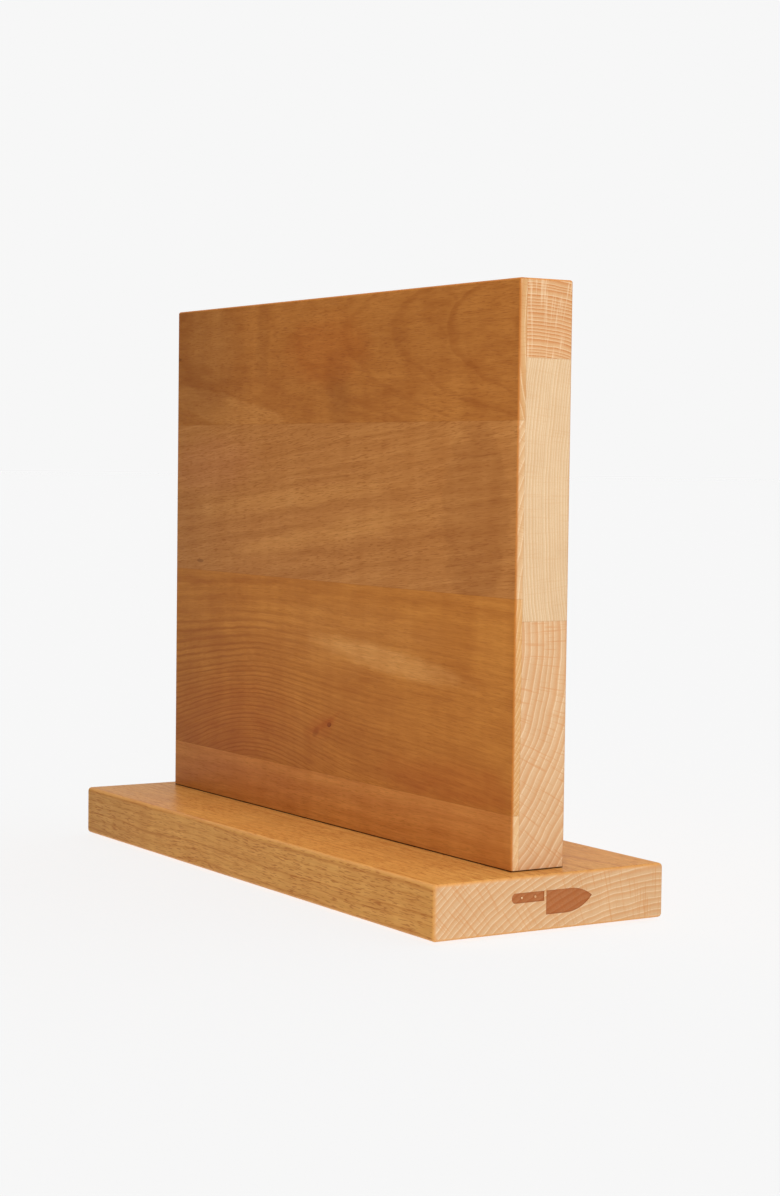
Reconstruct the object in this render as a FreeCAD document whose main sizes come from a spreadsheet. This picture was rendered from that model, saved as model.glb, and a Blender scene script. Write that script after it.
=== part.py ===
import FreeCAD, Part
import os

import Sketcher

# A free-standing magnetic knife rack in beech.
#
# A flat base plank carries an upright panel. The panel is a 20 mm core of three edge-glued staves, with a
# 3 mm facing of four staves glued over its front. Blind bores in the core, open towards the facing, each hold
# a back magnet, a wooden spacer and a front magnet, so that knives cling to both faces. Three countersunk
# wood screws and two dowels join the base to the panel, and four silicone feet sit in shallow recesses.
#
# Frame: +Z up, +X along the plank, and the facing looks to -Y. The origin is the middle of the footprint, on
# the surface that the feet stand on. Lengths are in millimetres and angles in degrees.

DIMENSIONS = [
    ("base_length", 280, "base plank along X"),
    ("base_width", 100, "base plank along Y"),
    ("base_thickness", 20, "base plank along Z"),
    ("base_arris", 1.5, "rounding of the base plank's edges"),
    ("foot_standoff", 1, "gap between the base plank and the surface"),
    ("panel_length", 262, "upright panel along X"),
    ("core_thickness", 20, "core staves along Y"),
    ("facing_thickness", 3, "facing staves along Y"),
    ("panel_arris", 1, "rounding of the panel's outer edges"),
    ("panel_foot_arris", 0.5, "rounding of the panel's bottom edges"),
    ("core_bottom_height", 89, "lowest core stave along Z"),
    ("core_middle_height", 93, "middle core stave along Z"),
    ("core_top_height", 28, "top core stave along Z"),
    ("facing_bottom_height", 20, "lowest facing stave along Z"),
    ("facing_lower_height", 77, "second facing stave along Z"),
    ("facing_upper_height", 63, "third facing stave along Z"),
    ("facing_top_height", 50, "top facing stave along Z"),
    ("magnet_radius", 12.5, "disc magnet"),
    ("magnet_thickness", 5, "disc magnet"),
    ("magnet_edge", 0.4, "rounding of a magnet's rims"),
    ("magnet_pitch", 42, "distance between the magnets in a row"),
    ("magnet_count", 6, "magnets in a row"),
    ("magnet_clearance", 0.2, "radial gap round a magnet in its bore"),
    ("lower_row_height", 60, "lower row of bores above the panel's foot"),
    ("upper_row_height", 140, "upper row of bores above the panel's foot"),
    ("back_skin", 3, "wood left behind each magnet bore"),
    ("glue_gap", 0.1, "spare depth in a magnet bore"),
    ("spacer_chamfer", 0.5, "chamfer of a spacer's rims"),
    ("dowel_radius", 4, "dowel pin"),
    ("dowel_length", 40, "dowel pin"),
    ("dowel_chamfer", 1.2, "chamfer of a dowel's ends"),
    ("dowel_clearance", 0.1, "radial gap round a dowel"),
    ("dowel_offset", 47.5, "dowels from the middle, along X"),
    ("dowel_in_base", 12.5, "length of a dowel below the base plank's top"),
    ("bore_spare", 0.5, "spare depth beyond the end of a dowel or a screw"),
    ("flute_radius", 0.45, "glue flutes along a dowel"),
    ("flute_count", 12, "glue flutes round a dowel"),
    ("screw_offset", 95, "outer screws from the middle, along X"),
    ("screw_length", 50, "wood screw, overall"),
    ("screw_sink", 0.3, "screw head above the base plank's underside"),
    ("head_radius", 4.8, "screw head"),
    ("head_land", 0.4, "straight rim of the screw head"),
    ("shank_radius", 1.8, "smooth part of the screw"),
    ("root_radius", 1.6, "threaded part of the screw, at its root"),
    ("thread_radius", 2.5, "threaded part of the screw, at its crest"),
    ("thread_pitch", 2.4, "screw thread"),
    ("thread_start", 21, "middle of the first thread from the head"),
    ("thread_height", 23, "rise of the thread from first to last"),
    ("thread_base", 0.55, "half the thread's width at its root"),
    ("thread_bite", 0.15, "depth that the thread's profile reaches into the core"),
    ("point_length", 5, "conical point of the screw"),
    ("screw_clearance", 0.15, "radial gap round a screw"),
    ("drive_reach", 2.4, "cross recess, from the middle to an arm's end"),
    ("drive_width", 1, "cross recess, width of an arm"),
    ("drive_depth", 1.8, "cross recess"),
    ("drive_taper", -12, "slope of the cross recess's walls, narrowing inwards"),
    ("foot_radius", 8, "silicone foot"),
    ("foot_thickness", 2, "silicone foot"),
    ("foot_edge", 0.5, "rounding of a foot's lower rim"),
    ("foot_clearance", 0.3, "radial gap round a foot in its recess"),
    ("foot_offset_x", 120, "feet from the middle, along X"),
    ("foot_offset_y", 33, "feet from the middle, along Y"),
    ("groove_radius", 5, "ring groove in a foot's underside"),
    ("groove_width", 1, "ring groove in a foot's underside"),
    ("groove_depth", 0.4, "ring groove in a foot's underside"),
    ("mark_length", 35, "knife sign engraved in the base plank's end"),
    ("mark_height", 8.6, "knife sign"),
    ("mark_depth", 0.3, "knife sign"),
]

# Places that several sub-parts share, as spreadsheet expressions.
BASE_TOP = "dims.foot_standoff + dims.base_thickness"
CORE_MIDDLE_Y = "dims.facing_thickness / 2"
CORE_FRONT_Y = f"({CORE_MIDDLE_Y} - dims.core_thickness / 2)"
FACING_MIDDLE_Y = f"({CORE_FRONT_Y} - dims.facing_thickness / 2)"
ROW_SPAN = "(dims.magnet_pitch * (dims.magnet_count - 1))"
MAGNET_BORE_DEPTH = "(dims.core_thickness - dims.back_skin)"
DOWEL_BORE_RADIUS = "dims.dowel_radius + dims.dowel_clearance"
SCREW_BORE_RADIUS = "(dims.thread_radius + dims.screw_clearance)"

doc = FreeCAD.newDocument("magnetic_knife_rack")
sheet = doc.addObject("Spreadsheet::Sheet", "dims")
for row, (alias, value, note) in enumerate(DIMENSIONS, start=1):
    sheet.set(f"A{row}", alias)
    sheet.set(f"B{row}", str(value))
    sheet.set(f"C{row}", note)
    sheet.setAlias(f"B{row}", alias)
doc.recompute()

sub_parts = []


# Helpers for bodies and sketches


def value_of(expression):
    """What an expression gives with the present spreadsheet."""
    return float(sheet.evalExpression(expression))


def close(a, b):
    return abs(a - b) < 1e-4


def new_body(name, x="0", y="0", z="0"):
    """An empty body, placed in the rack's frame by three expressions."""
    body = doc.addObject("PartDesign::Body", name)
    body.Label = name
    for axis, expression in (("x", x), ("y", y), ("z", z)):
        body.setExpression(f"Placement.Base.{axis}", f"({expression}) * 1 mm")
    sub_parts.append(body)
    return body


def sketch_on(body, name, plane, offset="0"):
    """A sketch on one of the body's origin planes, moved along the plane's normal."""
    sketch = body.newObject("Sketcher::SketchObject", name)
    support = next(f for f in body.Origin.OriginFeatures if f.Role == plane)
    sketch.AttachmentSupport = [(support, "")]
    sketch.MapMode = "FlatFace"
    sketch.setExpression("AttachmentOffset.Base.z", f"({offset}) * 1 mm")
    return sketch


def bind(sketch, expression, kind, *elements):
    """Adds a dimension to the sketch and drives it by an expression."""
    index = sketch.addConstraint(Sketcher.Constraint(kind, *elements, value_of(expression)))
    name = f"{kind}_{index}"
    sketch.renameConstraint(index, name)
    sketch.setExpression(f"Constraints.{name}", expression)


def pin(sketch, element, point, x, y):
    """Drives the place of one point of the sketch, measured from the sketch's origin."""
    bind(sketch, x, "DistanceX", -1, 1, element, point)
    bind(sketch, y, "DistanceY", -1, 1, element, point)


def bent_edge(start, end, radius):
    """An arc from start to end that bulges to the right of its chord, as on a counterclockwise outline."""
    chord = end - start
    reach = radius - (radius**2 - chord.Length**2 / 4) ** 0.5
    outward = FreeCAD.Vector(chord.y, -chord.x, 0).normalize()
    return Part.Arc(start, (start + end) * 0.5 + outward * reach, end)


def closed_outline(sketch, corners, arcs=None):
    """A closed outline through corners given as pairs of expressions, in counterclockwise order. arcs maps
    the number of an edge to the expression of its radius; the other edges are straight."""
    arcs = arcs or {}
    first = sketch.GeometryCount
    count = len(corners)
    points = [FreeCAD.Vector(value_of(x), value_of(y), 0) for x, y in corners]
    for i in range(count):
        start, end = points[i], points[(i + 1) % count]
        edge = bent_edge(start, end, value_of(arcs[i])) if i in arcs else Part.LineSegment(start, end)
        sketch.addGeometry(edge, False)
    for i, (x, y) in enumerate(corners):
        sketch.addConstraint(Sketcher.Constraint("Coincident", first + i, 2, first + (i + 1) % count, 1))
        pin(sketch, first + i, 1, x, y)
    for i, radius in arcs.items():
        bind(sketch, radius, "Radius", first + i)


def centred_rectangle(sketch, width, depth):
    """A rectangle round the sketch's origin."""
    half_width, half_depth = f"({width}) / 2", f"({depth}) / 2"
    corners = [
        (f"-{half_width}", f"-{half_depth}"),
        (half_width, f"-{half_depth}"),
        (half_width, half_depth),
        (f"-{half_width}", half_depth),
    ]
    closed_outline(sketch, corners)


def circle_at(sketch, radius, x="0", y="0"):
    centre = FreeCAD.Vector(value_of(x), value_of(y), 0)
    circle = Part.Circle(centre, FreeCAD.Vector(0, 0, 1), value_of(radius))
    index = sketch.addGeometry(circle, False)
    bind(sketch, radius, "Radius", index)
    pin(sketch, index, 3, x, y)


# Helpers for features


def pad(body, name, sketch, length):
    feature = body.newObject("PartDesign::Pad", name)
    feature.Profile = sketch
    feature.setExpression("Length", f"({length}) * 1 mm")
    doc.recompute()
    return feature


def pocket(body, name, sketch, depth, along_normal=False, taper=None):
    """A pocket against the sketch's normal, or along it. It has to remove material."""
    before = body.Shape.Volume
    feature = body.newObject("PartDesign::Pocket", name)
    feature.Profile = sketch
    feature.Reversed = along_normal
    feature.setExpression("Length", f"({depth}) * 1 mm")
    if taper:
        feature.setExpression("TaperAngle", f"({taper}) * 1 deg")
    doc.recompute()
    assert body.Shape.Volume < before, f"{name} cuts nothing"
    return feature


def row_of(body, name, feature, sketch, span, count):
    """Repeats a cut over the span, from its place on the sketch's +H side towards -H."""
    before = body.Shape.Volume
    pattern = body.newObject("PartDesign::LinearPattern", name)
    pattern.Originals = [feature]
    pattern.Direction = (sketch, ["H_Axis"])
    pattern.Reversed = True
    pattern.setExpression("Length", f"({span}) * 1 mm")
    pattern.setExpression("Occurrences", count)
    body.Tip = pattern
    doc.recompute()
    assert body.Shape.Volume < before, f"{name} repeats nothing"


def edges_where(feature, test):
    """Names of the feature's edges whose middle point passes the test."""
    names = []
    for number, edge in enumerate(feature.Shape.Edges, start=1):
        if test(edge.valueAt((edge.FirstParameter + edge.LastParameter) / 2)):
            names.append(f"Edge{number}")
    return names


def rims_where(feature, test=lambda centre: True):
    """Names of the feature's full circles whose centre passes the test."""
    names = []
    for number, edge in enumerate(feature.Shape.Edges, start=1):
        if edge.Closed and test(edge.Curve.Center):
            names.append(f"Edge{number}")
    return names


def round_off(body, name, feature, edges, radius):
    fillet = body.newObject("PartDesign::Fillet", name)
    fillet.Base = (feature, edges)
    fillet.setExpression("Radius", f"({radius}) * 1 mm")
    doc.recompute()
    return fillet


def chamfer(body, name, feature, edges, leg):
    bevel = body.newObject("PartDesign::Chamfer", name)
    bevel.Base = (feature, edges)
    bevel.setExpression("Size", f"({leg}) * 1 mm")
    doc.recompute()
    return bevel


def disc(body, radius, thickness, plane="XY_Plane"):
    """A round pad from the body's origin: upwards, or towards -Y when it is drawn on XZ_Plane."""
    outline = sketch_on(body, f"{body.Name}_outline", plane)
    circle_at(outline, radius)
    return pad(body, f"{body.Name}_blank", outline, thickness)


# The base plank


def base_plank():
    """A rounded plank with recesses for the feet, bores for dowels and screws, and an engraved sign."""
    body = new_body("base_plank", z="dims.foot_standoff")
    outline = sketch_on(body, "plank_outline", "XY_Plane")
    centred_rectangle(outline, "dims.base_length", "dims.base_width")
    plank = pad(body, "plank", outline, "dims.base_thickness")
    every_edge = edges_where(plank, lambda middle: True)
    round_off(body, "plank_arris", plank, every_edge, "dims.base_arris")

    recesses = sketch_on(body, "foot_recess_outline", "XY_Plane")
    for x in ("-dims.foot_offset_x", "dims.foot_offset_x"):
        for y in ("-dims.foot_offset_y", "dims.foot_offset_y"):
            circle_at(recesses, "dims.foot_radius + dims.foot_clearance", x, y)
    pocket(body, "foot_recesses", recesses, "dims.foot_thickness - dims.foot_standoff", along_normal=True)

    dowel_bores = sketch_on(body, "dowel_bore_outline", "XY_Plane", "dims.base_thickness")
    for x in ("-dims.dowel_offset", "dims.dowel_offset"):
        circle_at(dowel_bores, DOWEL_BORE_RADIUS, x)
    pocket(body, "dowel_bores", dowel_bores, "dims.dowel_in_base + dims.bore_spare")

    countersink_screw_bores(body)

    sign = sketch_on(body, "sign_outline", "YZ_Plane", "dims.base_length / 2")
    knife_sign(sign, "dims.base_thickness / 2")
    pocket(body, "sign", sign, "dims.mark_depth")


def countersink_screw_bores(body):
    """Three bores right through the plank, countersunk from below so that the heads are just let in."""
    screw_bore = sketch_on(body, "screw_bore_outline", "XY_Plane")
    circle_at(screw_bore, SCREW_BORE_RADIUS, "dims.screw_offset")
    doc.recompute()
    hole = body.newObject("PartDesign::Hole", "screw_bore")
    hole.Profile = screw_bore
    hole.Reversed = True
    hole.DepthType = "ThroughAll"
    hole.setExpression("Diameter", f"2 * {SCREW_BORE_RADIUS} * 1 mm")
    hole.HoleCutType = "Countersink"
    hole.HoleCutCustomValues = True
    hole.HoleCutCountersinkAngle = 90
    mouth_radius = "(dims.head_radius + dims.head_land + dims.screw_sink + dims.screw_clearance)"
    hole.setExpression("HoleCutDiameter", f"2 * {mouth_radius} * 1 mm")
    doc.recompute()
    row_of(body, "screw_bores", hole, screw_bore, "2 * dims.screw_offset", "3")


def knife_sign(sketch, middle):
    """The outline of a plain chef's knife: a blade, and a handle in which two rivets are left standing. The
    sign is centred on the sketch's V axis, at the given height."""

    def across(share):
        return f"{share} * dims.mark_length"

    def up(share):
        return f"{middle} + {share} * dims.mark_height"

    blade = [
        (across(-0.075), up(-0.5)),
        (across(0.175), up(-0.5)),
        (across(0.5), up(0.125)),
        (across(0.225), up(0.5)),
        (across(-0.075), up(0.5)),
    ]
    belly, spine = 1, 2
    closed_outline(sketch, blade, arcs={belly: across(0.42), spine: across(0.42)})

    handle_end = f"{across(-0.5)} + 0.136 * dims.mark_height"
    handle = [
        (handle_end, up(0.08)),
        (across(-0.1), up(0.08)),
        (across(-0.1), up(0.5)),
        (handle_end, up(0.5)),
    ]
    butt = 3
    closed_outline(sketch, handle, arcs={butt: "0.23 * dims.mark_height"})

    for share in (-0.375, -0.21):
        circle_at(sketch, "0.05 * dims.mark_height", across(share), up(0.29))


# The upright panel


def stave(name, height, thickness, y, z, outer_side, is_top=False, is_foot=False):
    """A plank of the panel, with its grain along X. Only edges on the outside of the panel are rounded: those
    of the two ends along the outer face, which is the front one (outer_side -1) or the back one (+1), and
    those round the top of a top stave or the foot of a foot stave."""
    body = new_body(name, y=y, z=z)
    outline = sketch_on(body, f"{name}_outline", "XY_Plane")
    centred_rectangle(outline, "dims.panel_length", thickness)
    plank = pad(body, f"{name}_plank", outline, height)
    box = plank.Shape.BoundBox
    outer_y = box.YMax if outer_side > 0 else box.YMin

    def on_end_or_face(middle):
        return close(abs(middle.x), box.XMax), close(middle.y, outer_y)

    def outside(middle):
        on_end, on_face = on_end_or_face(middle)
        return (on_end and on_face) or (is_top and close(middle.z, box.ZMax) and (on_end or on_face))

    def foot_rim(middle):
        return close(middle.z, box.ZMin) and not close(middle.y, -outer_y)

    rounded = round_off(body, f"{name}_arris", plank, edges_where(plank, outside), "dims.panel_arris")
    if is_foot:
        rim = edges_where(rounded, foot_rim)
        round_off(body, f"{name}_foot_arris", rounded, rim, "dims.panel_foot_arris")
    return body


def bore_magnet_row(body, name, height):
    """A row of blind bores in a core stave, from its front to just short of its back."""
    outline = sketch_on(body, f"{name}_outline", "XZ_Plane", "dims.core_thickness / 2")
    circle_at(outline, "dims.magnet_radius + dims.magnet_clearance", f"{ROW_SPAN} / 2", height)
    bore = pocket(body, f"{name}_first", outline, MAGNET_BORE_DEPTH)
    row_of(body, name, bore, outline, ROW_SPAN, "dims.magnet_count")


def bore_panel_foot(body):
    """Dowel and screw bores in the underside of the lowest core stave, above those of the base plank."""
    middle_line = f"-{CORE_MIDDLE_Y}"
    sockets = sketch_on(body, "dowel_socket_outline", "XY_Plane")
    for x in ("-dims.dowel_offset", "dims.dowel_offset"):
        circle_at(sockets, DOWEL_BORE_RADIUS, x, middle_line)
    socket_depth = "dims.dowel_length - dims.dowel_in_base + dims.bore_spare"
    pocket(body, "dowel_sockets", sockets, socket_depth, along_normal=True)

    pilots = sketch_on(body, "pilot_bore_outline", "XY_Plane")
    for x in ("-dims.screw_offset", "0", "dims.screw_offset"):
        circle_at(pilots, SCREW_BORE_RADIUS, x, middle_line)
    pilot_depth = "dims.screw_sink + dims.screw_length - dims.base_thickness + dims.bore_spare"
    pocket(body, "pilot_bores", pilots, pilot_depth, along_normal=True)


def panel_core():
    """Three staves, from the foot up. The two tall ones hold a row of magnets each."""
    below = BASE_TOP
    for level in ("bottom", "middle", "top"):
        height = f"dims.core_{level}_height"
        body = stave(
            f"core_stave_{level}",
            height,
            "dims.core_thickness",
            CORE_MIDDLE_Y,
            below,
            outer_side=1,
            is_top=level == "top",
            is_foot=level == "bottom",
        )
        if level == "bottom":
            bore_magnet_row(body, "lower_bores", "dims.lower_row_height")
            bore_panel_foot(body)
        if level == "middle":
            bore_magnet_row(body, "upper_bores", "dims.upper_row_height - dims.core_bottom_height")
        below = f"{below} + {height}"


def panel_facing():
    """Four thin staves, from the foot up."""
    below = BASE_TOP
    for level in ("bottom", "lower", "upper", "top"):
        height = f"dims.facing_{level}_height"
        stave(
            f"facing_stave_{level}",
            height,
            "dims.facing_thickness",
            FACING_MIDDLE_Y,
            below,
            outer_side=-1,
            is_top=level == "top",
            is_foot=level == "bottom",
        )
        below = f"{below} + {height}"


# What the panel holds


def magnet(name, x, y, z):
    """A disc magnet with its axis along Y and its back face at y."""
    body = new_body(name, x, y, z)
    blank = disc(body, "dims.magnet_radius", "dims.magnet_thickness", "XZ_Plane")
    round_off(body, f"{name}_rims", blank, rims_where(blank), "dims.magnet_edge")


def spacer(name, x, y, z, thickness):
    """A wooden disc with its axis along Y and its back face at y."""
    body = new_body(name, x, y, z)
    blank = disc(body, "dims.magnet_radius", thickness, "XZ_Plane")
    chamfer(body, f"{name}_rims", blank, rims_where(blank), "dims.spacer_chamfer")


def magnets_and_spacers():
    """Each bore holds a back magnet, a wooden spacer and a front magnet."""
    thickness = f"({MAGNET_BORE_DEPTH} - 2 * dims.magnet_thickness - dims.glue_gap)"
    front_magnet_y = f"{CORE_FRONT_Y} + dims.magnet_thickness"
    spacer_y = f"{front_magnet_y} + dims.glue_gap / 2 + {thickness}"
    back_magnet_y = f"{CORE_FRONT_Y} + {MAGNET_BORE_DEPTH}"
    for row in ("lower", "upper"):
        z = f"{BASE_TOP} + dims.{row}_row_height"
        for place in range(int(value_of("dims.magnet_count"))):
            x = f"dims.magnet_pitch * {place} - {ROW_SPAN} / 2"
            number = place + 1
            magnet(f"magnet_front_{row}_{number}", x, front_magnet_y, z)
            spacer(f"spacer_{row}_{number}", x, spacer_y, z, thickness)
            magnet(f"magnet_back_{row}_{number}", x, back_magnet_y, z)


# What joins the panel to the base


def dowels():
    """Fluted dowel pins that reach from the base plank into the lowest core stave."""
    for side, x in (("left", "-dims.dowel_offset"), ("right", "dims.dowel_offset")):
        body = new_body(f"dowel_{side}", x, "0", f"{BASE_TOP} - dims.dowel_in_base")
        blank = disc(body, "dims.dowel_radius", "dims.dowel_length")
        chamfer(body, f"{body.Name}_ends", blank, rims_where(blank), "dims.dowel_chamfer")
        flute_outline = sketch_on(body, f"{body.Name}_flute_outline", "XY_Plane")
        circle_at(flute_outline, "dims.flute_radius", "dims.dowel_radius")
        flute = pocket(body, f"{body.Name}_flute", flute_outline, "dims.dowel_length", along_normal=True)
        flutes = body.newObject("PartDesign::PolarPattern", f"{body.Name}_flutes")
        flutes.Originals = [flute]
        flutes.Axis = (flute_outline, ["N_Axis"])
        flutes.Angle = 360
        flutes.setExpression("Occurrences", "dims.flute_count")
        body.Tip = flutes
        doc.recompute()


def screws():
    """Countersunk wood screws, driven up through the base plank."""
    places = (("left", "-dims.screw_offset"), ("middle", "0"), ("right", "dims.screw_offset"))
    for place, x in places:
        body = new_body(f"screw_{place}", x, "0", "dims.foot_standoff + dims.screw_sink")
        turn_screw_blank(body)
        add_screw_thread(body)
        cut_cross_recess(body)


def turn_screw_blank(body):
    neck = "dims.head_land + dims.head_radius - dims.shank_radius"
    thread_foot = "dims.thread_start - dims.thread_base"
    half_section = [
        ("0", "0"),
        ("dims.head_radius", "0"),
        ("dims.head_radius", "dims.head_land"),
        ("dims.shank_radius", neck),
        ("dims.shank_radius", f"{thread_foot} - dims.thread_base"),
        ("dims.root_radius", thread_foot),
        ("dims.root_radius", "dims.screw_length - dims.point_length"),
        ("0", "dims.screw_length"),
    ]
    section = sketch_on(body, f"{body.Name}_section", "XZ_Plane")
    closed_outline(section, half_section)
    blank = body.newObject("PartDesign::Revolution", f"{body.Name}_blank")
    blank.Profile = section
    blank.ReferenceAxis = (section, ["V_Axis"])
    blank.Angle = 360
    doc.recompute()


def add_screw_thread(body):
    sunk_root = "dims.root_radius - dims.thread_bite"
    tooth = [
        (sunk_root, "dims.thread_start - dims.thread_base"),
        ("dims.thread_radius", "dims.thread_start"),
        (sunk_root, "dims.thread_start + dims.thread_base"),
    ]
    outline = sketch_on(body, f"{body.Name}_tooth", "XZ_Plane")
    closed_outline(outline, tooth)
    before = body.Shape.Volume
    thread = body.newObject("PartDesign::AdditiveHelix", f"{body.Name}_thread")
    thread.Profile = outline
    thread.ReferenceAxis = (outline, ["V_Axis"])
    thread.Mode = "pitch-height-angle"
    thread.setExpression("Pitch", "dims.thread_pitch * 1 mm")
    thread.setExpression("Height", "dims.thread_height * 1 mm")
    doc.recompute()
    assert body.Shape.Volume > before, f"{body.Name} has no thread"


def cut_cross_recess(body):
    arm, half = "dims.drive_reach", "dims.drive_width / 2"
    cross = [
        (arm, f"-{half}"),
        (arm, half),
        (half, half),
        (half, arm),
        (f"-{half}", arm),
        (f"-{half}", half),
        (f"-{arm}", half),
        (f"-{arm}", f"-{half}"),
        (f"-{half}", f"-{half}"),
        (f"-{half}", f"-{arm}"),
        (half, f"-{arm}"),
        (half, f"-{half}"),
    ]
    outline = sketch_on(body, f"{body.Name}_drive_outline", "XY_Plane")
    closed_outline(outline, cross)
    depth, taper = "dims.drive_depth", "dims.drive_taper"
    pocket(body, f"{body.Name}_drive", outline, depth, along_normal=True, taper=taper)


# What the rack stands on


def feet():
    """Silicone discs let into the base plank, with a ring groove in the face that they stand on."""
    for row, y in (("front", "-dims.foot_offset_y"), ("back", "dims.foot_offset_y")):
        for side, x in (("left", "-dims.foot_offset_x"), ("right", "dims.foot_offset_x")):
            body = new_body(f"foot_{row}_{side}", x, y)
            blank = disc(body, "dims.foot_radius", "dims.foot_thickness")
            lower_rim = rims_where(blank, lambda centre: close(centre.z, 0))
            round_off(body, f"{body.Name}_rim", blank, lower_rim, "dims.foot_edge")
            ring = sketch_on(body, f"{body.Name}_groove_outline", "XY_Plane")
            circle_at(ring, "dims.groove_radius")
            circle_at(ring, "dims.groove_radius - dims.groove_width")
            pocket(body, f"{body.Name}_groove", ring, "dims.groove_depth", along_normal=True)


def check_and_export():
    """Stops at a failed object or a bad solid, and otherwise writes a STEP file for each sub-part."""
    doc.recompute()
    for item in doc.Objects:
        failed = [state for state in item.State if state in ("Invalid", "Error")]
        assert not failed, f"{item.Name} is {failed}"
    for body in sub_parts:
        assert not body.Shape.isNull() and body.Shape.isValid(), f"{body.Label} has a bad shape"
        assert len(body.Shape.Solids) == 1, f"{body.Label} is not one solid"
    os.makedirs("parts", exist_ok=True)
    for body in sub_parts:
        body.Shape.exportStep(os.path.join("parts", f"{body.Label}.step"))
        print(f"{body.Label}: {body.Shape.Volume / 1000:.2f} cm3")


base_plank()
panel_core()
panel_facing()
magnets_and_spacers()
dowels()
screws()
feet()
check_and_export()
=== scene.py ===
import math
from dataclasses import dataclass, field

import bpy
from mathutils import Matrix, Vector


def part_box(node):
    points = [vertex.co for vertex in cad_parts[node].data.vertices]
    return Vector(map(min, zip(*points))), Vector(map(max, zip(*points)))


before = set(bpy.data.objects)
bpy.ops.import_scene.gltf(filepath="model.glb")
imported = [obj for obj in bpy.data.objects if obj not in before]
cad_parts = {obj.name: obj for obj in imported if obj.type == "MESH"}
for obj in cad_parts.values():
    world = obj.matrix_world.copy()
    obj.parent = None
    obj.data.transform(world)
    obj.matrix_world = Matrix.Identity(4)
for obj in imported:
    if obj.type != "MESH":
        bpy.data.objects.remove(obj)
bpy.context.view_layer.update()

# The looks of a free-standing magnetic knife rack in beech: a camera, a pale studio and one procedural
# material for each board, magnet, spacer, dowel, screw and foot. Scene lengths are in metres, but the wood
# materials work in millimetres, because a growth ring is about 2 mm wide.

MM = 0.001


def linear(red, green, blue):
    """A colour given on the usual 0 to 255 display scale, as the linear colour that a shader takes."""
    return tuple(((c / 255 + 0.055) / 1.055) ** 2.4 for c in (red, green, blue)) + (1.0,)


# The studio

CAMERA_PLACE = (0.8175, -0.496, 0.1646)
CAMERA_AZIMUTH = 57.809  # degrees, from +Y towards -X
CAMERA_PITCH = 3.183  # degrees, downwards
CAMERA_ROLL = 0.737  # degrees
CAMERA_LENS = 71.81  # mm
SENSOR_WIDTH = 36  # mm
BACKDROP = 0.93  # how bright the backdrop looks to the camera
BRIGHT_SIDE = 0.6  # how brightly the room lights the object from behind, on its +Y side
DIM_SIDE = 0.12  # and from in front
ROOM_TURN = (-0.45, 0.3)  # the room goes from dim to bright between these values of a direction's y
KEY_POWER = 2.8  # watts, the lamp on the marked end
TOP_POWER = 7.4  # watts, the lamp overhead
FLOOR_POWER = 10.5  # watts per square metre, the light for the floor alone
FLOOR_GREY = 0.25
FLOOR_REACH = 30.0
PANEL_MIDDLE = (0, 0, 0.1)


def add_camera():
    azimuth, pitch, roll = (math.radians(angle) for angle in (CAMERA_AZIMUTH, CAMERA_PITCH, CAMERA_ROLL))
    level_part = math.cos(pitch)
    forward = Vector((-math.sin(azimuth) * level_part, math.cos(azimuth) * level_part, -math.sin(pitch)))
    level = forward.cross(Vector((0, 0, 1))).normalized()
    upright = level.cross(forward)
    right = math.cos(roll) * level + math.sin(roll) * upright
    up = math.cos(roll) * upright - math.sin(roll) * level
    camera = bpy.data.objects.new("camera", bpy.data.cameras.new("camera"))
    camera.data.lens = CAMERA_LENS
    camera.data.sensor_width = SENSOR_WIDTH
    turn = Matrix((right, up, -forward)).transposed().to_4x4()
    camera.matrix_world = Matrix.Translation(CAMERA_PLACE) @ turn
    bpy.context.collection.objects.link(camera)
    bpy.context.scene.camera = camera


def add_floor():
    mesh = bpy.data.meshes.new("floor")
    corners = [(x * FLOOR_REACH, y * FLOOR_REACH, 0) for x, y in ((-1, -1), (1, -1), (1, 1), (-1, 1))]
    mesh.from_pydata(corners, [], [(0, 1, 2, 3)])
    floor = bpy.data.objects.new("floor", mesh)
    bpy.context.collection.objects.link(floor)
    paint = Shader("floor_paint")
    paint.surface.inputs["Base Color"].default_value = (FLOOR_GREY, FLOOR_GREY, FLOOR_GREY, 1)
    paint.surface.inputs["Roughness"].default_value = 1.0
    paint.surface.inputs["Specular IOR Level"].default_value = 0.0
    mesh.materials.append(paint.material)
    return floor


def add_lamp(name, kind, place, aim, power):
    lamp = bpy.data.lights.new(name, kind)
    lamp.energy = power
    light = bpy.data.objects.new(name, lamp)
    light.location = place
    light.rotation_euler = (Vector(aim) - Vector(place)).to_track_quat("-Z", "Y").to_euler()
    light.visible_camera = False
    bpy.context.collection.objects.link(light)
    return light


def add_light(floor):
    """A soft room, a key on the marked end, a lamp overhead, and a light for the floor alone, which makes the
    floor look as bright as the backdrop."""
    add_room()
    key = add_lamp("key", "AREA", (0.74, -0.38, 0.3), PANEL_MIDDLE, KEY_POWER)
    key.data.shape = "SQUARE"
    key.data.size = 0.35
    top = add_lamp("top_light", "AREA", (0, -0.08, 1.1), (0, -0.08, 0), TOP_POWER)
    top.data.shape = "RECTANGLE"
    top.data.size = 1.0
    top.data.size_y = 0.5
    fill = add_lamp("floor_light", "SUN", (0, 0, 2), (0, 0, 0), FLOOR_POWER)
    only_floor = bpy.data.collections.new("only_floor")
    only_floor.objects.link(floor)
    fill.light_linking.receiver_collection = only_floor
    fill.light_linking.blocker_collection = only_floor
    not_floor = bpy.data.collections.new("not_floor")
    not_floor.objects.link(floor)
    not_floor.collection_objects[0].light_linking.link_state = "EXCLUDE"
    key.light_linking.receiver_collection = not_floor
    top.light_linking.receiver_collection = not_floor
    bpy.context.scene.view_settings.view_transform = "Standard"


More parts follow.
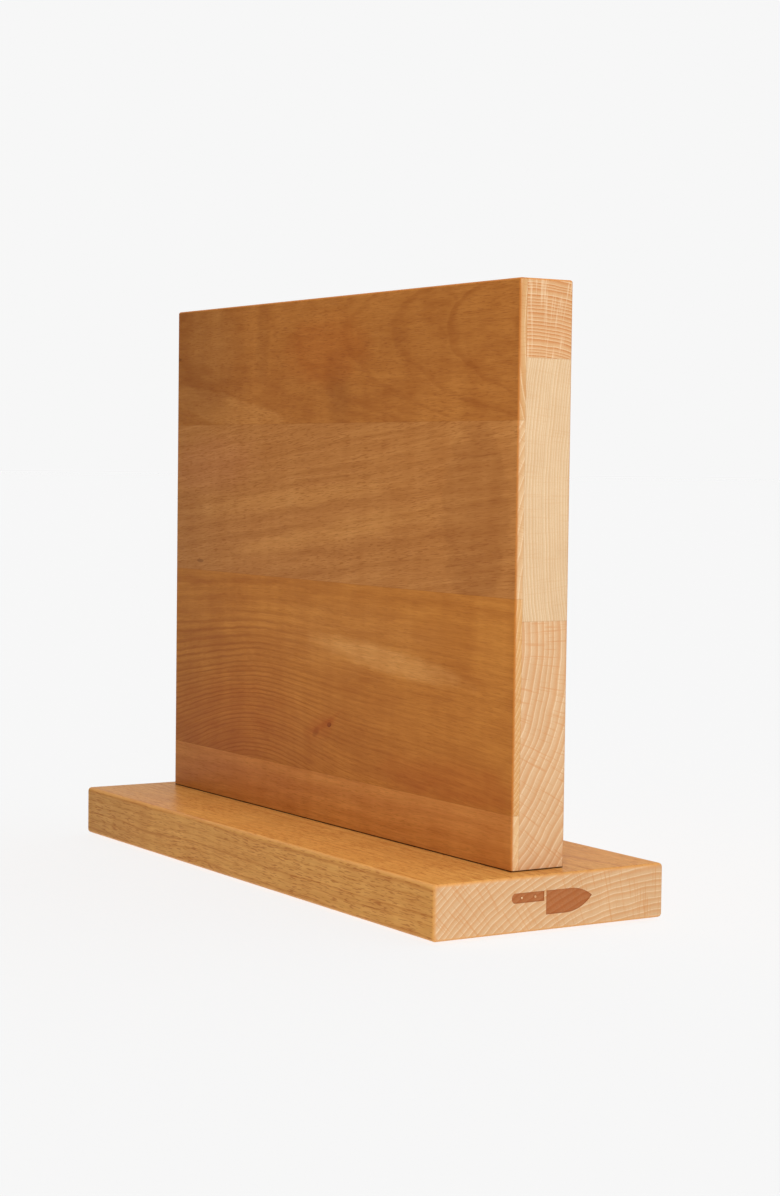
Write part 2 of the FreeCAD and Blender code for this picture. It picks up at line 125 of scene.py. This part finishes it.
def add_room():
    """Light from all round, bright behind the object and dim in front of it. The camera itself sees an even
    backdrop."""
    world = bpy.data.worlds.new("studio")
    world.use_nodes = True
    tree = world.node_tree
    direction = tree.nodes.new("ShaderNodeTexCoord").outputs["Generated"]
    split = tree.nodes.new("ShaderNodeSeparateXYZ")
    ramp = tree.nodes.new("ShaderNodeMapRange")
    ramp.interpolation_type = "SMOOTHSTEP"
    for socket, number in zip(ramp.inputs[1:5], (*ROOM_TURN, DIM_SIDE, BRIGHT_SIDE)):
        socket.default_value = number
    tree.links.new(direction, split.inputs[0])
    tree.links.new(split.outputs["Y"], ramp.inputs[0])
    seen = tree.nodes.new("ShaderNodeMix")
    tree.links.new(tree.nodes.new("ShaderNodeLightPath").outputs["Is Camera Ray"], seen.inputs["Factor"])
    tree.links.new(ramp.outputs[0], seen.inputs["A"])
    seen.inputs["B"].default_value = BACKDROP
    tree.links.new(seen.outputs["Result"], tree.nodes["Background"].inputs["Color"])
    bpy.context.scene.world = world


# Shader nodes


class Shader:
    """A material's node tree, with a short call for each kind of node. Every value may be a number, a colour
    or the output of another node."""

    def __init__(self, name):
        self.material = bpy.data.materials.new(name)
        self.material.use_nodes = True
        self.tree = self.material.node_tree
        self.surface = self.tree.nodes["Principled BSDF"]
        self.place = self.node("ShaderNodeTexCoord").outputs["Object"]
        self.facing = self.node("ShaderNodeTexCoord").outputs["Normal"]

    def node(self, kind, **settings):
        node = self.tree.nodes.new(kind)
        for setting, value in settings.items():
            setattr(node, setting, value)
        return node

    def put(self, socket, value):
        if isinstance(value, bpy.types.NodeSocket):
            self.tree.links.new(value, socket)
        else:
            socket.default_value = value

    def math(self, operation, *values, clamp=False):
        node = self.node("ShaderNodeMath", operation=operation, use_clamp=clamp)
        for socket, value in zip(node.inputs, values):
            self.put(socket, value)
        return node.outputs[0]

    def add(self, a, b):
        return self.math("ADD", a, b)

    def times(self, a, b):
        return self.math("MULTIPLY", a, b)

    def shifted(self, value, gain, offset=0.0):
        """The value times gain, plus offset."""
        return self.math("MULTIPLY_ADD", value, gain, offset)

    def rest(self, share):
        """What a share leaves of 1."""
        return self.math("SUBTRACT", 1.0, share)

    def size(self, value):
        """The value without its sign."""
        return self.math("ABSOLUTE", value)

    def split(self, vector):
        node = self.node("ShaderNodeSeparateXYZ")
        self.put(node.inputs[0], vector)
        return node.outputs

    def joined(self, x, y, z):
        node = self.node("ShaderNodeCombineXYZ")
        for socket, value in zip(node.inputs, (x, y, z)):
            self.put(socket, value)
        return node.outputs[0]

    def noise(self, vector, detail=1.0, roughness=0.5, distortion=0.0):
        """Soft noise that wanders about 0.5, with features about one unit across."""
        node = self.node("ShaderNodeTexNoise")
        self.put(node.inputs["Vector"], vector)
        self.put(node.inputs["Scale"], 1.0)
        self.put(node.inputs["Detail"], detail)
        self.put(node.inputs["Roughness"], roughness)
        self.put(node.inputs["Distortion"], distortion)
        return node.outputs["Fac"]

    def noise_over(self, values, sizes, *character):
        """Noise over three values, with features of these sizes along them."""
        scaled = (self.times(value, 1 / size) for value, size in zip(values, sizes))
        return self.noise(self.joined(*scaled), *character)

    def step(self, value, low, high):
        """0 below low, 1 above high and smooth between them."""
        node = self.node("ShaderNodeMapRange", interpolation_type="SMOOTHSTEP")
        for socket, number in zip(node.inputs, (value, low, high, 0.0, 1.0)):
            self.put(socket, number)
        return node.outputs[0]

    def mix(self, share, a, b, blend="MIX"):
        node = self.node("ShaderNodeMix", data_type="RGBA", blend_type=blend)
        self.put(node.inputs["Factor"], share)
        for socket, colour in zip(node.inputs[6:8], (a, b)):
            self.put(socket, colour)
        return node.outputs[2]

    def brighter(self, colour, factor):
        """The colour times a factor."""
        return self.mix(1.0, colour, self.joined(factor, factor, factor), "MULTIPLY")

    def toned(self, colour, factor):
        """The colour times a factor, redder where that is under 1 and yellower where it is over."""
        red, blue = self.shifted(factor, 0.7, 0.3), self.shifted(factor, 1.5, -0.5)
        return self.mix(1.0, colour, self.joined(red, self.shifted(factor, 1.1, -0.1), blue), "MULTIPLY")

    def finish(self, colour, roughness, height, bump_depth):
        """Sends colour, roughness and a bump height to the surface."""
        self.put(self.surface.inputs["Base Color"], colour)
        self.put(self.surface.inputs["Roughness"], roughness)
        bump = self.node("ShaderNodeBump")
        self.put(bump.inputs["Strength"], 1.0)
        self.put(bump.inputs["Distance"], bump_depth)
        self.put(bump.inputs["Height"], height)
        self.tree.links.new(bump.outputs[0], self.surface.inputs["Normal"])


# Beech

TOUCHING = 0.01 * MM  # faces closer than this touch
WOOD_IOR = 1.12  # low, because oiled wood has only a faint gloss
WOOD_BUMP = 0.02 * MM
CREAM = linear(242, 214, 176)
PALE = linear(222, 156, 84)
RED = linear(176, 90, 32)
BROWN = linear(140, 78, 32)
KNOT = linear(92, 44, 18)
# painted shadow colour for the line along the panel's foot on the base
FOOT_SHADOW = linear(64, 32, 14)


@dataclass
class Swell:
    """A place where the growth rings bulge: its middle, how far it spreads along x and z, and its height."""

    x: float
    z: float
    wide: float
    high: float
    lift: float


@dataclass
class Grain:
    """How a board was cut from the log. Millimetres, measured from the middle of the panel's or the base
    plank's own box. The log's axis crosses the plane x = 0 at (y, z) and leans from the board's length by
    (lean_y, lean_z). Rings are about ring mm apart, wander by about wander mm, and run early or late by
    about uneven rings. Line is the share of each year's growth before its dark band. Bold, a hill's middle
    and spread along x and z, is where the rings show most. The other numbers say how strongly each kind of
    mark shows."""

    y: float
    z: float
    lean_y: float = 0.0
    lean_z: float = 0.0
    ring: float = 2.5
    wander: float = 2.0
    uneven: float = 0.8
    swells: list = field(default_factory=list)
    rings: float = 0.3
    line: float = 0.35
    bold: tuple = None
    end_rings: float = 0.7
    flecks: float = 0.38
    mottle: float = 0.35
    rays: float = 0.3
    light_rays: float = 0.0


@dataclass
class Tone:
    """The board's colours: pale and deep wood and flecks along the grain, pale and deep wood on its ends, and
    the colour of its rounded arrises, partly their own oiled tone and partly a painted highlight."""

    pale: tuple
    deep: tuple
    fleck: tuple
    end_pale: tuple
    end_deep: tuple
    arris: tuple


@dataclass
class Patch:
    """A patch of other colour in a board's wood, millimetres from the middle of the panel's box: its middle,
    half its length and height, how many degrees it climbs along +x, its colour and how much of that it takes.
    A crisp patch has an edge and a soft one fades out."""

    x: float
    z: float
    long: float
    high: float
    climb: float
    colour: tuple
    share: float
    crisp: bool = False


def board_place(s, middle, axes):
    """Place in millimetres from the middle of the panel or plank, the axis along the grain first."""
    place = [s.shifted(c, 1 / MM, -m / MM) for c, m in zip(s.split(s.place), middle)]
    return [place[axis] for axis in axes]


def hill(s, place, middle_x, middle_z, wide, high):
    """1 in the middle of a smooth round hill over the board's x and z, and 0 far from it."""
    x, _, z = place
    along = s.math("POWER", s.size(s.shifted(x, 1 / wide, -middle_x / wide)), 2.0)
    across = s.math("POWER", s.size(s.shifted(z, 1 / high, -middle_z / high)), 2.0)
    return s.math("EXPONENT", s.times(s.add(along, across), -1.0))


def ring_coordinates(s, grain, place, far):
    """(distance from the log's axis, way round the axis), in mm. The axis is about far mm away."""
    x, y, z = place
    from_axis_y = s.add(s.shifted(x, -grain.lean_y, -grain.y), y)
    from_axis_z = s.add(s.shifted(x, -grain.lean_z, -grain.z), z)
    for swell in grain.swells:
        share = hill(s, place, swell.x, swell.z, swell.wide, swell.high)
        from_axis_z = s.add(from_axis_z, s.times(share, -swell.lift))
    squared = s.add(s.times(from_axis_y, from_axis_y), s.times(from_axis_z, from_axis_z))
    radius = s.math("SQRT", squared)
    drift = s.noise_over(place, (70, 22, 22), 1.5)
    radius = s.add(radius, s.shifted(drift, 2 * grain.wander, -grain.wander))
    ripple = s.noise_over(place, (9, 5, 5))
    radius = s.add(radius, s.shifted(ripple, 0.5, -0.25))
    way_round = s.times(s.math("ARCTAN2", from_axis_z, from_axis_y), far)
    return radius, way_round


def ring_marks(s, grain, radius):
    """(soft, dark, light): the dark band that ends each year's growth as it looks along the grain and on a
    board's end, and the thin light line that follows it there."""
    age = s.times(radius, 1 / grain.ring)
    pace = s.noise(s.joined(s.times(age, 0.31), 0.0, 0.0), 1.0)
    age = s.add(age, s.shifted(pace, 2 * grain.uneven, 0.0))
    share = s.math("FRACT", age)
    sharp = s.times(s.step(share, 0.3, 0.9), s.rest(s.step(share, 0.9, 1.0)))
    peak = 0.55 + 0.45 * grain.line
    soft = s.times(s.step(share, grain.line, peak), s.rest(s.step(share, (peak + 1) / 2, 1.0)))
    light = s.times(s.step(share, 0.0, 0.06), s.rest(s.step(share, 0.08, 0.2)))
    force = s.noise(s.joined(s.times(age, 0.37), 7.0, 0.0), 1.0)
    return s.times(soft, s.step(force, 0.0, 0.7)), s.times(sharp, s.step(force, 0.0, 0.6)), light


def patch_share(s, patch, place, waver):
    """How much of a patch's colour each place takes."""
    x, _, z = place
    turn = math.radians(patch.climb)
    cos, sin = math.cos(turn), math.sin(turn)
    along_offset = -(patch.x * cos + patch.z * sin) / patch.long
    across_offset = (patch.x * sin - patch.z * cos) / patch.high
    along = s.add(s.shifted(x, cos / patch.long, along_offset), s.times(z, sin / patch.long))
    across = s.add(s.shifted(x, -sin / patch.high, across_offset), s.times(z, cos / patch.high))
    reach = s.add(s.add(s.times(along, along), s.times(across, across)), waver)
    if patch.crisp:
        return s.times(s.rest(s.step(reach, 0.7, 1.15)), patch.share)
    return s.times(s.rest(s.step(reach, 0.0, 1.6)), patch.share)


def side_wood(s, grain, tone, place, in_log, soft, fleck, fibre, patches):
    """The colour of a board's faces along the grain."""
    streak = s.noise_over(in_log, (60, 3.2, 1.1), 3.0, 0.6)
    blotch = s.noise_over(place, (34, 16, 11), 3.0, 0.55, 0.6)
    stain_and_sheen_band = s.noise_over(place, (11, 60, 55), 2.0)
    waver = s.shifted(s.noise_over(place, (9, 9, 5), 2.0), 1.2, -0.6)
    strength = grain.rings
    if grain.bold:
        strength = s.times(s.shifted(hill(s, place, *grain.bold), 0.8, 0.2), grain.rings)
    side = s.mix(s.times(soft, strength), tone.pale, tone.deep)
    side = s.mix(s.times(s.step(blotch, 0.3, 0.75), grain.mottle), side, tone.deep)
    for patch in patches:
        side = s.mix(patch_share(s, patch, place, waver), side, patch.colour)
    # upright bands of lighter and darker tone, about 11 mm wide: partly uneven oil stain and partly a painted
    # sheen
    side = s.toned(side, s.shifted(stain_and_sheen_band, 0.3, 0.85))
    side = s.toned(side, s.shifted(streak, 0.44, 0.78))
    side = s.toned(side, s.shifted(fibre, 0.4, 0.8))
    # painted shade: the faces along the grain get darker towards the -x end, by up to 14% beyond x = -140 mm
    side = s.brighter(side, s.shifted(s.step(place[0], -140, -50), 0.14, 0.86))
    return s.mix(s.times(fleck, grain.flecks), side, tone.fleck)


def end_wood(s, grain, tone, place, in_log, dark, light, pore):
    """The colour of a board's end grain."""
    ray = s.step(s.noise_over(in_log, (30, 0.5, 12), 0.5), 0.61, 0.69)
    end = s.mix(s.times(dark, grain.end_rings), tone.end_pale, tone.end_deep)
    end = s.mix(s.times(light, 0.55), end, CREAM)
    end = s.mix(s.times(ray, grain.rays), end, tone.end_deep)
    if grain.light_rays:
        gleam = s.step(s.noise_over(in_log, (9, 1.1, 16), 1.5), 0.5, 0.7)
        end = s.mix(s.times(gleam, grain.light_rays), end, CREAM)
    end = s.toned(end, s.shifted(pore, 0.16, 0.92))
    return s.toned(end, s.shifted(s.noise_over(place, (30, 9, 14), 2.0), 0.2, 0.9))


def lined(s, wood, place, lines, inner, outer, share, colour):
    """The wood with a thin line at each (axis, mm), full up to inner mm from it and gone at outer mm."""
    for axis, at in lines:
        near = s.rest(s.step(s.size(s.shifted(place[axis], 1.0, -at)), inner, outer))
        wood = s.mix(s.times(near, share), wood, colour)
    return wood


def scorched(s, wood, place, mark, tone, dark, pore):
    """The wood with everything inside the mark's box burnt: the engraved sign."""
    (low, high), burnt = mark
    inside = 1.0
    for axis in range(3):
        inside = s.times(inside, s.math("GREATER_THAN", place[axis], low[axis]))
        inside = s.times(inside, s.math("LESS_THAN", place[axis], high[axis]))
    burn = s.mix(s.times(dark, 0.4), s.brighter(burnt, s.shifted(pore, 0.5, 0.75)), tone.fleck)
    return s.mix(s.times(inside, 0.92), wood, burn)


def beech(node, middle, grain, tone, patches=(), seams=(), foot=(), mark=None, axes=(0, 1, 2)):
    """Oiled beech for a board, as a solid texture, so that rings run on from its faces to its ends."""
    s = Shader(f"beech_{node}")
    place = board_place(s, middle, axes)
    own = [((middle_of(node) - middle) / MM)[axis] for axis in axes]
    radius, way_round = ring_coordinates(s, grain, place, math.hypot(own[1] - grain.y, own[2] - grain.z))
    in_log = (place[0], way_round, radius)
    soft, dark, light = ring_marks(s, grain, radius)
    facing = s.split(s.facing)
    normal = [s.size(facing[axis]) for axis in axes]

    # marks that more than one part of the look uses
    crowd = s.shifted(s.step(s.noise_over(place, (40, 20, 14), 1.5), 0.3, 0.62), 0.4, 0.6)
    fleck = s.times(s.step(s.noise_over(in_log, (4.4, 0.28, 0.45), 0.4), 0.58, 0.65), crowd)
    fibre = s.noise_over(in_log, (18, 0.8, 0.8), 2.0, 0.6)
    pore = s.noise_over(place, (8, 0.35, 0.35))

    side = side_wood(s, grain, tone, place, in_log, soft, fleck, fibre, patches)
    end = end_wood(s, grain, tone, place, in_log, dark, light, pore)
    wood = s.mix(s.step(normal[0], 0.6, 0.95), side, end)
    widest = s.math("MAXIMUM", s.math("MAXIMUM", normal[0], normal[1]), normal[2])
    rounded = s.rest(s.step(widest, 0.88, 0.995))
    # the rounded arrises go half way to the arris colour: partly the oiled rounding's own deeper tone, partly
    # a painted highlight
    wood = s.mix(s.times(rounded, 0.5), wood, tone.arris)
    # painted shadow: a dark line along the foot of each panel board that stands on the base
    wood = lined(s, wood, place, foot, 0.35, 0.6, 0.95, FOOT_SHADOW)
    wood = lined(s, wood, place, seams, 0.05, 0.3, 0.15, tone.fleck)
    if mark:
        wood = scorched(s, wood, place, mark, tone, dark, pore)

    relief = s.add(s.times(dark, 0.3), s.add(s.times(fleck, -0.6), s.times(fibre, 0.8)))
    shine = s.add(s.shifted(fibre, 0.16, 0.24), s.times(fleck, 0.1))
    s.put(s.surface.inputs["IOR"], WOOD_IOR)
    s.finish(wood, shine, relief, WOOD_BUMP)
    return s.material


def paint(node, material):
    for slot in bpy.data.objects[node].material_slots:
        slot.material = material


def middle_of(*nodes):
    """The middle of the box round these nodes."""
    lows, highs = zip(*(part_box(node) for node in nodes))
    low = Vector(min(c) for c in zip(*lows))
    high = Vector(max(c) for c in zip(*highs))
    return (low + high) / 2


def seams_of(node, middle, neighbours):
    """Where a board's faces meet its neighbours, as (axis, millimetres from middle)."""
    low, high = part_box(node)
    found = []
    for other in neighbours:
        if other == node:
            continue
        other_low, other_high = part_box(other)
        for axis in (1, 2):
            for own, its in ((low, other_high), (high, other_low)):
                if abs(own[axis] - its[axis]) < TOUCHING:
                    found.append((axis, (own[axis] - middle[axis]) / MM))
    return sorted(set(found))


def foot_of(node, middle):
    """Where a board of the panel stands on the base, as (axis, millimetres from middle), which is where the
    painted shadow line along its foot goes.
    """
    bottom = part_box(node)[0][2]
    on_base = abs(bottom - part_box("base_plank")[1][2]) < TOUCHING
    return [(2, (bottom - middle[2]) / MM)] if on_base else []


def paint_base():
    tone = Tone(
        pale=linear(221, 159, 83),
        deep=linear(196, 122, 55),
        fleck=linear(158, 70, 24),
        end_pale=linear(220, 178, 134),
        end_deep=linear(212, 146, 88),
        # lighter than the base's wood: a painted highlight along its rounded arrises
        arris=linear(226, 164, 100),
    )
    node = "base_plank"
    middle = middle_of(node)
    low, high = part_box(node)
    end = (high[0] - middle[0]) / MM
    mark = ((end - 0.5, -18, -5), (end - 0.1, 18, 5))
    grain = Grain(
        y=45, z=-95, ring=2.3, rings=0.62, line=0.68, rays=0.5, flecks=0.5, mottle=0.2, end_rings=0.55
    )
    paint(node, beech(node, middle, grain, tone, mark=(mark, linear(174, 104, 58))))


def paint_core(panel, boards):
    ends = {
        "bottom": (linear(222, 181, 138), linear(212, 148, 94)),
        "middle": (linear(224, 192, 152), linear(212, 162, 112)),
        "top": (linear(218, 170, 122), linear(200, 124, 66)),
    }
    cuts = {
        "bottom": Grain(y=-95, z=-21, ring=2.8, wander=1.5, rays=0.5, end_rings=0.6),
        "middle": Grain(y=300, z=25, ring=1.2, wander=0.7, uneven=1.5, rays=0.15, end_rings=0.5),
        "top": Grain(y=-8, z=0, ring=1.35, wander=1.0, uneven=1.2, rays=0.1, end_rings=0.8, light_rays=0.5),
    }
    for level, grain in cuts.items():
        end_pale, end_deep = ends[level]
        tone = Tone(
            pale=linear(222, 160, 92),
            deep=linear(190, 118, 58),
            fleck=linear(150, 88, 40),
            end_pale=end_pale,
            end_deep=end_deep,
            arris=linear(206, 132, 66),
        )
        node = f"core_stave_{level}"
        seams = seams_of(node, panel, boards)
        foot = foot_of(node, panel)
        paint(node, beech(node, panel, grain, tone, seams=seams, foot=foot))


def paint_facing(panel, boards):
    cuts = {
        "top": Grain(
            y=100, z=88, lean_y=-0.06, ring=2.3, wander=1.0, mottle=0.4, rings=0.5, line=0.76,
            bold=(95, 92, 75, 40), end_rings=0.4,
        ),
        "upper": Grain(y=110, z=-32, lean_z=0.1, ring=2.5, rings=0.26, mottle=0.22, end_rings=0.4),
        "lower": Grain(
            y=-130, z=0, ring=1.4, wander=0.8, uneven=0.4, rings=0.75, line=0.5, bold=(-85, -62, 85, 45),
            end_rings=0.4, flecks=0.22, swells=[Swell(-60, -95, 62, 60, 22), Swell(40, -95, 120, 70, 14)],
        ),
        "bottom": Grain(y=120, z=-155, ring=2.4, end_rings=0.3, flecks=0.22),
    }
    # darker and redder than the core's faces along the grain, while the ends match the core's: partly the
    # boards' own colour, partly painted shade on the panel's front
    sides = {
        "top": (linear(188, 119, 54), linear(156, 86, 32)),
        "upper": (linear(194, 128, 66), linear(168, 102, 46)),
        "lower": (linear(200, 128, 54), linear(160, 84, 26)),
        "bottom": (linear(216, 143, 70), linear(190, 112, 50)),
    }
    ends = {
        "top": (linear(216, 169, 117), linear(202, 138, 80)),
        "upper": (linear(224, 184, 138), linear(206, 148, 94)),
        "lower": (linear(221, 170, 112), linear(202, 138, 76)),
        "bottom": (linear(234, 194, 144), linear(214, 156, 100)),
    }
    patches = {
        "top": [
            Patch(-85, 61, 60, 7, -9, PALE, 0.3, crisp=True),
            Patch(-110, 88, 44, 40, 0, BROWN, 0.32),
            Patch(-54, 88, 6, 17, 0, BROWN, 0.22),
            Patch(8, 68, 9, 16, 10, BROWN, 0.35),
            Patch(-2, 84, 32, 14, 0, RED, 0.35),
            Patch(-98, 90, 24, 16, 0, PALE, 0.2),
            Patch(-130, 84, 3, 0.7, 0, KNOT, 0.4, crisp=True),
            Patch(74, 90, 45, 14, 0, BROWN, 0.15),
        ],
        "upper": [
            Patch(-34, 24, 80, 4, 5, PALE, 0.3),
            Patch(4, 12, 95, 4.5, 8, PALE, 0.28),
            Patch(-100, 38, 40, 12, 4, linear(196, 122, 76), 0.3),
            # a tall, crisp-edged darker band across the stave
            Patch(105, 20, 22, 34, 0, BROWN, 0.22, crisp=True),
            Patch(-108, -4, 3, 0.7, 0, KNOT, 0.4, crisp=True),
        ],
        "lower": [
            Patch(46, -36, 54, 5, -5, PALE, 0.65),
            Patch(34, -34, 26, 2.6, -2, PALE, 0.4, crisp=True),
            Patch(20, -30, 60, 14, 0, PALE, 0.15),
            Patch(3.5, -65, 1.6, 0.9, 10, KNOT, 0.9, crisp=True),
            Patch(-7, -69, 3.2, 1.5, 35, KNOT, 0.4),
            Patch(-2, -66, 11, 1.4, 20, RED, 0.4),
            Patch(6, -62, 9, 1.0, 25, RED, 0.3),
            Patch(-4, -67, 12, 5, 20, RED, 0.35),
            Patch(90, -78, 50, 9, 0, RED, 0.4),
            Patch(-85, -72, 55, 22, 8, linear(172, 88, 26), 0.4),
        ],
        "bottom": [Patch(-70, -96, 60, 9, 0, linear(190, 112, 62), 0.3)],
    }
    for level, grain in cuts.items():
        pale, deep = sides[level]
        end_pale, end_deep = ends[level]
        tone = Tone(
            pale=pale,
            deep=deep,
            fleck=linear(138, 68, 22),
            end_pale=end_pale,
            end_deep=end_deep,
            arris=linear(204, 128, 62),
        )
        node = f"facing_stave_{level}"
        seams = seams_of(node, panel, boards)
        foot = foot_of(node, panel)
        paint(node, beech(node, panel, grain, tone, patches[level], seams, foot))


def paint_hidden_wood(panel):
    """The spacer discs between the magnets, and the dowels, which stand with their grain upright."""
    tone = Tone(
        pale=linear(224, 172, 112),
        deep=linear(200, 138, 82),
        fleck=linear(158, 98, 52),
        end_pale=linear(226, 182, 134),
        end_deep=linear(206, 148, 96),
        arris=linear(214, 156, 98),
    )
    spacers = [node for node in NODES if node.startswith("spacer_")]
    wood = beech(spacers[0], panel, Grain(y=20, z=-140, ring=2.0, rings=0.6), tone)
    for node in spacers:
        paint(node, wood)
    dowels = [node for node in NODES if node.startswith("dowel_")]
    middle = middle_of(*dowels)
    wood = beech(dowels[0], middle, Grain(y=-30, z=25, ring=1.8, rings=0.6), tone, axes=(2, 1, 0))
    for node in dowels:
        paint(node, wood)


def wear(s, sizes, *character):
    """Noise on a metal or rubber piece, with features of these sizes in millimetres along x, y and z."""
    return s.noise_over(s.split(s.place), [size * MM for size in sizes], *character)


def nickel():
    """Bright nickel plate, a little cloudy, with fine tumbling scratches and duller edges."""
    s = Shader("nickel_plate")
    cloud = wear(s, (5, 5, 5), 3.0, 0.6, 0.5)
    scratch_a = s.step(wear(s, (4, 4, 0.12), 2.0), 0.62, 0.7)
    scratch_b = s.step(wear(s, (0.12, 4, 3), 2.0), 0.64, 0.7)
    scratch = s.math("MAXIMUM", scratch_a, scratch_b)
    normal = [s.size(n) for n in s.split(s.facing)]
    edge = s.rest(s.step(s.math("MAXIMUM", normal[1], s.math("MAXIMUM", normal[0], normal[2])), 0.75, 0.97))
    plate = s.mix(s.step(cloud, 0.3, 0.7), linear(206, 202, 192), linear(186, 180, 166))
    plate = s.mix(s.times(scratch, 0.35), plate, linear(226, 224, 218))
    plate = s.mix(s.times(edge, 0.3), plate, linear(160, 154, 142))
    s.put(s.surface.inputs["Metallic"], 1.0)
    dull = s.add(s.shifted(cloud, 0.18, 0.12), s.add(s.times(scratch, 0.15), s.times(edge, 0.12)))
    s.finish(plate, dull, s.add(cloud, s.times(scratch, -0.5)), 0.01 * MM)
    return s.material


def zinc():
    """Zinc plate with a faint blue and yellow passivation, and soot-grey grime where the plate is dull."""
    s = Shader("zinc_steel")
    cloud = wear(s, (2.5, 2.5, 3.5), 3.0, 0.6, 0.8)
    grime = s.step(wear(s, (1.2, 1.2, 1.6), 4.0, 0.65), 0.52, 0.72)
    turned = wear(s, (3, 3, 0.15), 2.0)
    plate = s.mix(s.step(cloud, 0.3, 0.7), linear(188, 194, 202), linear(202, 194, 166))
    plate = s.mix(s.times(grime, 0.35), plate, linear(112, 110, 104))
    s.put(s.surface.inputs["Metallic"], 1.0)
    dull = s.add(s.shifted(cloud, 0.15, 0.2), s.add(s.times(grime, 0.25), s.shifted(turned, 0.1)))
    s.finish(plate, dull, s.add(turned, s.times(grime, 0.5)), 0.015 * MM)
    return s.material


def silicone():
    """Milky moulded silicone with a fine spark-eroded grain, a little dust, and paler rubbed edges."""
    s = Shader("silicone")
    grain = wear(s, (0.35, 0.35, 0.35), 2.0, 0.6)
    cloud = wear(s, (6, 6, 6), 3.0, 0.6)
    dust = s.step(wear(s, (0.6, 0.6, 0.6), 3.0, 0.7), 0.62, 0.74)
    rubber = s.mix(s.step(cloud, 0.3, 0.7), linear(206, 206, 202), linear(190, 190, 184))
    rubber = s.mix(s.times(dust, 0.3), rubber, linear(150, 142, 130))
    normal = s.size(s.split(s.facing)[2])
    edge = s.times(s.step(normal, 0.1, 0.5), s.rest(s.step(normal, 0.7, 0.98)))
    rubber = s.mix(s.times(edge, 0.35), rubber, linear(222, 222, 218))
    s.put(s.surface.inputs["Subsurface Weight"], 0.25)
    s.put(s.surface.inputs["Subsurface Scale"], 1 * MM)
    s.put(s.surface.inputs["IOR"], 1.41)
    s.finish(rubber, s.add(s.shifted(grain, 0.2, 0.4), s.times(dust, 0.15)), grain, 0.02 * MM)
    return s.material


def paint_boards():
    panel = middle_of("core_stave_bottom", "core_stave_top", "facing_stave_bottom")
    boards = [node for node in NODES if "_stave_" in node]
    paint_base()
    paint_core(panel, boards)
    paint_facing(panel, boards)
    paint_hidden_wood(panel)


def paint_hardware():
    for start, material in (("magnet_", nickel()), ("screw_", zinc()), ("foot_", silicone())):
        for node in NODES:
            if node.startswith(start):
                paint(node, material)


# Everything

NODES = [o.name for o in bpy.data.objects if o.type == "MESH"]

add_camera()
add_light(add_floor())
paint_boards()
paint_hardware()
